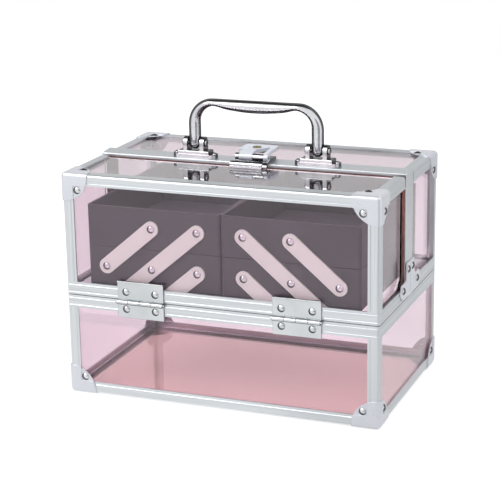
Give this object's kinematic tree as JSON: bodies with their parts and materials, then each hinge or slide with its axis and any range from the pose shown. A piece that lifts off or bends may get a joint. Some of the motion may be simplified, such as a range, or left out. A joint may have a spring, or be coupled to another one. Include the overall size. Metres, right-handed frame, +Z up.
{
  "type": "makeup storage case",
  "caption": "Box-shaped makeup case: tinted clear panels in an aluminium frame, low base, two lids that swing apart, linked trays, keyed latch and folding handle.",
  "frame": {"origin": "on the ground under the middle of the case, level with the underside of the bottom corner caps", "axes": "+X along the width to the right, -Y towards the front, +Z up"},
  "size_m": [0.2654, 0.17, 0.2316],
  "materials": {
    "tinted_acrylic": "clear, tinted, polished",
    "dark_acrylic": "polished, dark cut edge",
    "aluminium": "extruded, bright satin",
    "cap_metal": "smooth satin",
    "chrome": "polished",
    "brass": "polished",
    "tray_plastic": "smooth moulded",
    "link_metal": "satin",
    "hinge_steel": "bright satin"
  },
  "bodies": {
    "base": {"base_bottom_rails": "aluminium", "base_corner_caps": "cap_metal", "base_floor": "tinted_acrylic", "base_front_panel": "tinted_acrylic", "base_hinge_leaves": "hinge_steel", "base_posts": "aluminium", "base_rear_panel": "tinted_acrylic", "base_rim_rails": "aluminium", "base_rivets": "chrome", "base_side_panels": "tinted_acrylic", "hinge_pins": "chrome", "tray_mount_strips": "aluminium", "tray_mount_pins": "chrome"},
    "front_lid": {"front_lid_corner_caps": "cap_metal", "front_lid_front_panel": "tinted_acrylic", "front_lid_hinge_leaves": "hinge_steel", "front_lid_posts": "aluminium", "front_lid_rivets": "chrome", "front_lid_side_panels": "tinted_acrylic", "front_lid_sill_cores": "dark_acrylic", "front_lid_sill_rails": "aluminium", "front_lid_top_panel": "tinted_acrylic", "front_lid_top_rails": "aluminium", "latch_strike": "chrome"},
    "rear_lid": {"rear_lid_corner_caps": "cap_metal", "rear_lid_hinge_leaves": "hinge_steel", "rear_lid_posts": "aluminium", "rear_lid_rear_panel": "tinted_acrylic", "rear_lid_rivets": "chrome", "rear_lid_side_panels": "tinted_acrylic", "rear_lid_sill_cores": "dark_acrylic", "rear_lid_sill_rails": "aluminium", "rear_lid_top_panel": "tinted_acrylic", "rear_lid_top_rails": "aluminium", "bow_trim": "aluminium", "bow_core": "dark_acrylic", "bow_brackets": "cap_metal", "bow_rivets": "chrome", "handle_brackets": "chrome", "latch_base": "chrome", "latch_pin": "chrome"},
    "handle": {"handle_bar": "chrome", "handle_pins": "chrome"},
    "latch": {"latch_lever": "cap_metal"},
    "key": {"key_cylinder": "brass"},
    "left_main_link_pair": {"left_main_links": "link_metal"},
    "left_base_link_pair": {"left_base_links": "link_metal"},
    "left_top_link_pair": {"left_top_links": "link_metal"},
    "left_lower_tray": {"left_lower_tray": "tray_plastic", "left_lower_tray_pins": "chrome"},
    "left_upper_tray": {"left_upper_tray": "tray_plastic", "left_upper_tray_pins": "chrome"},
    "right_main_link_pair": {"right_main_links": "link_metal"},
    "right_base_link_pair": {"right_base_links": "link_metal"},
    "right_top_link_pair": {"right_top_links": "link_metal"},
    "right_lower_tray": {"right_lower_tray": "tray_plastic", "right_lower_tray_pins": "chrome"},
    "right_upper_tray": {"right_upper_tray": "tray_plastic", "right_upper_tray_pins": "chrome"}
  },
  "joints": [
    {"name": "front_lid_hinge", "type": "hinge", "parent": "base", "child": "front_lid", "pos_m": [0, -0.0831, 0.0817], "axis": [1, 0, 0], "range_deg": [0, 145]},
    {"name": "rear_lid_hinge", "type": "hinge", "parent": "base", "child": "rear_lid", "pos_m": [0, 0.0831, 0.0817], "axis": [-1, 0, 0], "range_deg": [0, 145]},
    {"name": "handle_hinge", "type": "hinge", "parent": "rear_lid", "child": "handle", "pos_m": [0, 0, 0.1948], "axis": [1, 0, 0], "range_deg": [-90, 90]},
    {"name": "latch_hinge", "type": "hinge", "parent": "rear_lid", "child": "latch", "pos_m": [0, -0.008, 0.188], "axis": [1, 0, 0], "range_deg": [0, 100]},
    {"name": "key_turn", "type": "hinge", "parent": "latch", "child": "key", "pos_m": [0.0008, 0.0075, 0.1925], "axis": [0, 0, 1], "range_deg": [0, 90]},
    {"name": "left_tray_lift", "type": "hinge", "parent": "base", "child": "left_main_link_pair", "pos_m": [-0.09232, 0, 0.07856], "axis": [0, -1, 0], "range_deg": [0, 7.5]},
    {"name": "left_lower_tray_pivot", "type": "hinge", "parent": "left_main_link_pair", "child": "left_lower_tray", "pos_m": [-0.058, 0, 0.1076], "axis": [0, -1, 0], "range_deg": [-7.5, 0]},
    {"name": "left_upper_tray_pivot", "type": "hinge", "parent": "left_main_link_pair", "child": "left_upper_tray", "pos_m": [-0.019, 0, 0.1406], "axis": [0, -1, 0], "range_deg": [-7.5, 0]},
    {"name": "left_base_link_pivot", "type": "hinge", "parent": "base", "child": "left_base_link_pair", "pos_m": [-0.05362, 0, 0.07856], "axis": [0, -1, 0], "range_deg": [0, 7.5]},
    {"name": "left_top_link_pivot", "type": "hinge", "parent": "left_lower_tray", "child": "left_top_link_pair", "pos_m": [-0.0967, 0, 0.1076], "axis": [0, -1, 0], "range_deg": [0, 7.5]},
    {"name": "right_tray_lift", "type": "hinge", "parent": "base", "child": "right_main_link_pair", "pos_m": [0.09232, 0, 0.07856], "axis": [0, 1, 0], "range_deg": [0, 7.5]},
    {"name": "right_lower_tray_pivot", "type": "hinge", "parent": "right_main_link_pair", "child": "right_lower_tray", "pos_m": [0.058, 0, 0.1076], "axis": [0, 1, 0], "range_deg": [-7.5, 0]},
    {"name": "right_upper_tray_pivot", "type": "hinge", "parent": "right_main_link_pair", "child": "right_upper_tray", "pos_m": [0.019, 0, 0.1406], "axis": [0, 1, 0], "range_deg": [-7.5, 0]},
    {"name": "right_base_link_pivot", "type": "hinge", "parent": "base", "child": "right_base_link_pair", "pos_m": [0.05362, 0, 0.07856], "axis": [0, 1, 0], "range_deg": [0, 7.5]},
    {"name": "right_top_link_pivot", "type": "hinge", "parent": "right_lower_tray", "child": "right_top_link_pair", "pos_m": [0.0967, 0, 0.1076], "axis": [0, 1, 0], "range_deg": [0, 7.5]}
  ],
  "couplings": [
    {"joint": "left_lower_tray_pivot", "follows": "left_tray_lift", "ratio": -1},
    {"joint": "left_upper_tray_pivot", "follows": "left_tray_lift", "ratio": -1},
    {"joint": "left_base_link_pivot", "follows": "left_tray_lift", "ratio": 1},
    {"joint": "left_top_link_pivot", "follows": "left_tray_lift", "ratio": 1},
    {"joint": "right_lower_tray_pivot", "follows": "right_tray_lift", "ratio": -1},
    {"joint": "right_upper_tray_pivot", "follows": "right_tray_lift", "ratio": -1},
    {"joint": "right_base_link_pivot", "follows": "right_tray_lift", "ratio": 1},
    {"joint": "right_top_link_pivot", "follows": "right_tray_lift", "ratio": 1}
  ]
}
